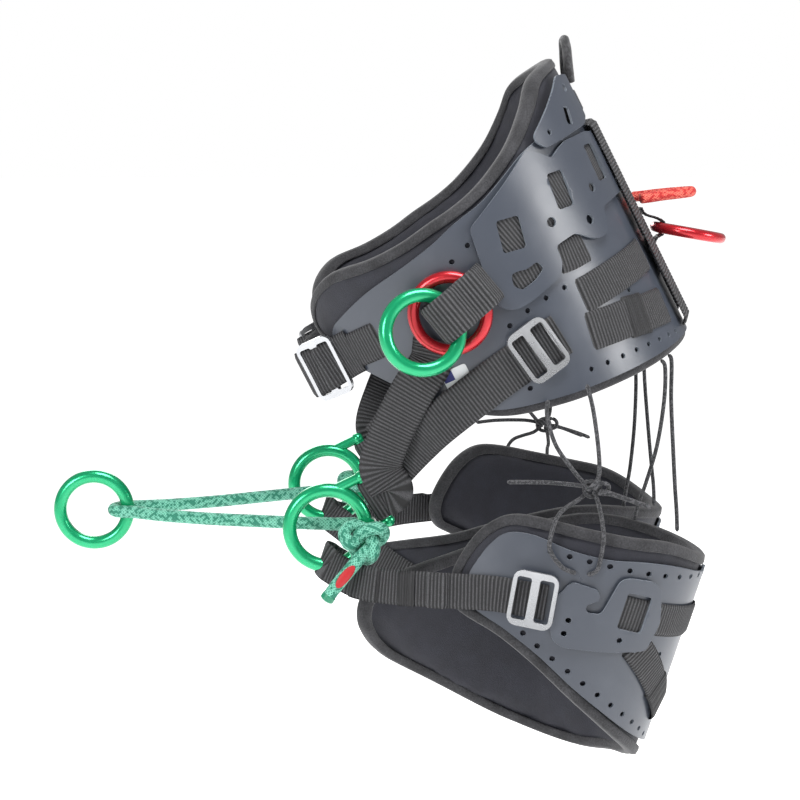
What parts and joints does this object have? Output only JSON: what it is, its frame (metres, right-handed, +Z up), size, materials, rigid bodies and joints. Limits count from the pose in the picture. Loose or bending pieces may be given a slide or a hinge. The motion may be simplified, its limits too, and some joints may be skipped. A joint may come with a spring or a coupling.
{
  "type": "tree climbing saddle",
  "caption": "Tree climbing saddle with a moulded back support, padded leg loops, side rings, and a rope bridge with a sliding ring between two D rings.",
  "frame": {"origin": "middle of the waist opening, on the back support's axis", "axes": "+X to the wearer's left, +Y to the wearer's back, +Z up"},
  "size_m": [0.4186, 0.5833, 0.6123],
  "materials": {
    "pad_neoprene": "matt ribbed neoprene, near-black navy",
    "pad_binding": "dark grey knitted edge binding",
    "shell": "slate grey-blue, semi-gloss moulded sheet",
    "webbing": "charcoal ribbed webbing",
    "silver": "bright drawn aluminium",
    "green_anodised": "glossy green anodising",
    "red_anodised": "glossy red anodising",
    "mint_rope": "mint and teal braid with pale flecks",
    "red_rope": "red braid with pale flecks",
    "black_cord": "black ribbed cord",
    "elastic": "charcoal covered elastic cord",
    "label": "white woven label with plain coloured blocks"
  },
  "bodies": {
    "saddle": {"waist_pad": "pad_neoprene", "waist_binding": "pad_binding", "back_shell": "shell", "back_webbing": "webbing", "front_strap": "webbing", "hip_plate_left": "shell", "top_plate_left": "shell", "side_webbing_left": "webbing", "front_tab_left": "webbing", "ring_loop_left": "webbing", "hip_strap_left": "webbing", "lower_strap_left": "webbing", "d_ring_left": "green_anodised", "hip_plate_right": "shell", "top_plate_right": "shell", "side_webbing_right": "webbing", "front_tab_right": "webbing", "ring_loop_right": "webbing", "hip_strap_right": "webbing", "lower_strap_right": "webbing", "d_ring_right": "green_anodised", "rear_keeper": "webbing", "care_label": "label", "elastic_left": "elastic", "elastic_rear_left": "elastic", "cord_knot_left": "elastic", "elastic_right": "elastic", "elastic_rear_right": "elastic", "cord_knot_right": "elastic"},
    "leg_left": {"leg_pad_left": "pad_neoprene", "leg_binding_left": "pad_binding", "leg_shell_left": "shell", "leg_plate_left": "shell", "leg_webbing_left": "webbing", "leg_strap_left": "webbing"},
    "leg_buckle_left": {"leg_buckle_left": "silver"},
    "front_buckle_left": {"front_buckle_left": "silver"},
    "side_buckle_left": {"side_buckle_left": "silver"},
    "green_ring_left": {"green_ring_left": "green_anodised"},
    "red_ring_left": {"red_ring_left": "red_anodised"},
    "leg_right": {"leg_pad_right": "pad_neoprene", "leg_binding_right": "pad_binding", "leg_shell_right": "shell", "leg_plate_right": "shell", "leg_webbing_right": "webbing", "leg_strap_right": "webbing"},
    "leg_buckle_right": {"leg_buckle_right": "silver"},
    "front_buckle_right": {"front_buckle_right": "silver"},
    "side_buckle_right": {"side_buckle_right": "silver"},
    "green_ring_right": {"green_ring_right": "green_anodised"},
    "red_ring_right": {"red_ring_right": "red_anodised"},
    "bridge": {"bridge_rope": "mint_rope", "stopper_knot_left": "mint_rope", "stopper_knot_right": "mint_rope"},
    "bridge_ring": {"bridge_ring": "green_anodised"},
    "rear_ring": {"rear_ring": "red_anodised"},
    "rear_rope_loop": {"rear_rope_loop": "red_rope"},
    "top_loop": {"top_loop": "black_cord"}
  },
  "joints": [
    {"name": "leg_swing_left", "type": "hinge", "parent": "saddle", "child": "leg_left", "pos_m": [0.105, -0.131, -0.221], "axis": [1, 0, 0], "range_deg": [-8, 6], "stiffness_Nm_per_rad": 15, "springref_deg": 2.98, "deforming": ["elastic_left", "elastic_rear_left"]},
    {"name": "leg_swing_right", "type": "hinge", "parent": "saddle", "child": "leg_right", "pos_m": [-0.105, -0.131, -0.221], "axis": [1, 0, 0], "range_deg": [-8, 6], "stiffness_Nm_per_rad": 15, "springref_deg": 2.98, "deforming": ["elastic_right", "elastic_rear_right"]},
    {"name": "front_buckle_lift_left", "type": "hinge", "parent": "saddle", "child": "front_buckle_left", "pos_m": [0.08997, -0.11664, -0.05494], "axis": [0, -0.454, 0.891], "range_deg": [0, 25], "stiffness_Nm_per_rad": 0.2},
    {"name": "front_buckle_lift_right", "type": "hinge", "parent": "saddle", "child": "front_buckle_right", "pos_m": [-0.08997, -0.11664, -0.05494], "axis": [0, 0.454, -0.891], "range_deg": [0, 25], "stiffness_Nm_per_rad": 0.2},
    {"name": "side_buckle_lift_left", "type": "hinge", "parent": "saddle", "child": "side_buckle_left", "pos_m": [0.15205, 0.05354, -0.02944], "axis": [0.0191, -0.5867, 0.8095], "range_deg": [0, 25], "stiffness_Nm_per_rad": 0.2},
    {"name": "side_buckle_lift_right", "type": "hinge", "parent": "saddle", "child": "side_buckle_right", "pos_m": [-0.15205, 0.05354, -0.02944], "axis": [0.0191, 0.5867, -0.8095], "range_deg": [0, 25], "stiffness_Nm_per_rad": 0.2},
    {"name": "leg_buckle_lift_left", "type": "hinge", "parent": "leg_left", "child": "leg_buckle_left", "pos_m": [0.20645, 0.04852, -0.23111], "axis": [-0.0276, 0.1763, 0.984], "range_deg": [0, 25], "stiffness_Nm_per_rad": 0.2},
    {"name": "leg_buckle_lift_right", "type": "hinge", "parent": "leg_right", "child": "leg_buckle_right", "pos_m": [-0.20645, 0.04852, -0.23111], "axis": [-0.0276, -0.1763, -0.984], "range_deg": [0, 25], "stiffness_Nm_per_rad": 0.2},
    {"name": "green_ring_swing_left", "type": "hinge", "parent": "saddle", "child": "green_ring_left", "pos_m": [0.16176, -0.02886, -0.00473], "axis": [-0.0429, -0.6391, 0.7679], "range_deg": [0, 25]},
    {"name": "green_ring_swing_right", "type": "hinge", "parent": "saddle", "child": "green_ring_right", "pos_m": [-0.16176, -0.02886, -0.00473], "axis": [-0.0429, 0.6391, -0.7679], "range_deg": [0, 25]},
    {"name": "red_ring_swing_left", "type": "hinge", "parent": "saddle", "child": "red_ring_left", "pos_m": [0.1601, -0.00731, 0.00921], "axis": [-0.0429, -0.6391, 0.7679], "range_deg": [0, 5]},
    {"name": "red_ring_swing_right", "type": "hinge", "parent": "saddle", "child": "red_ring_right", "pos_m": [-0.1601, -0.00731, 0.00921], "axis": [-0.0429, 0.6391, -0.7679], "range_deg": [0, 5]},
    {"name": "bridge_swing", "type": "hinge", "parent": "saddle", "child": "bridge", "pos_m": [0, -0.0945, -0.19], "axis": [1, 0, 0], "range_deg": [-50, 5], "stiffness_Nm_per_rad": 4, "springref_deg": -1.89},
    {"name": "bridge_ring_swing", "type": "hinge", "parent": "bridge", "child": "bridge_ring", "pos_m": [0, -0.3125, -0.193], "axis": [1, 0, 0], "range_deg": [-90, 90]},
    {"name": "rear_ring_swing", "type": "hinge", "parent": "saddle", "child": "rear_ring", "pos_m": [0, 0.158, 0.052], "axis": [1, 0, 0], "range_deg": [0, 35]},
    {"name": "rear_rope_loop_bend", "type": "hinge", "parent": "saddle", "child": "rear_rope_loop", "pos_m": [0, 0.138, 0.078], "axis": [1, 0, 0], "range_deg": [-25, 25], "stiffness_Nm_per_rad": 0.5},
    {"name": "top_loop_bend", "type": "hinge", "parent": "saddle", "child": "top_loop", "pos_m": [0, 0.08, 0.174], "axis": [1, 0, 0], "range_deg": [-20, 20], "stiffness_Nm_per_rad": 0.5}
  ],
  "couplings": [
    {"joint": "red_ring_swing_left", "follows": "green_ring_swing_left", "ratio": 0.2},
    {"joint": "red_ring_swing_right", "follows": "green_ring_swing_right", "ratio": 0.2}
  ]
}
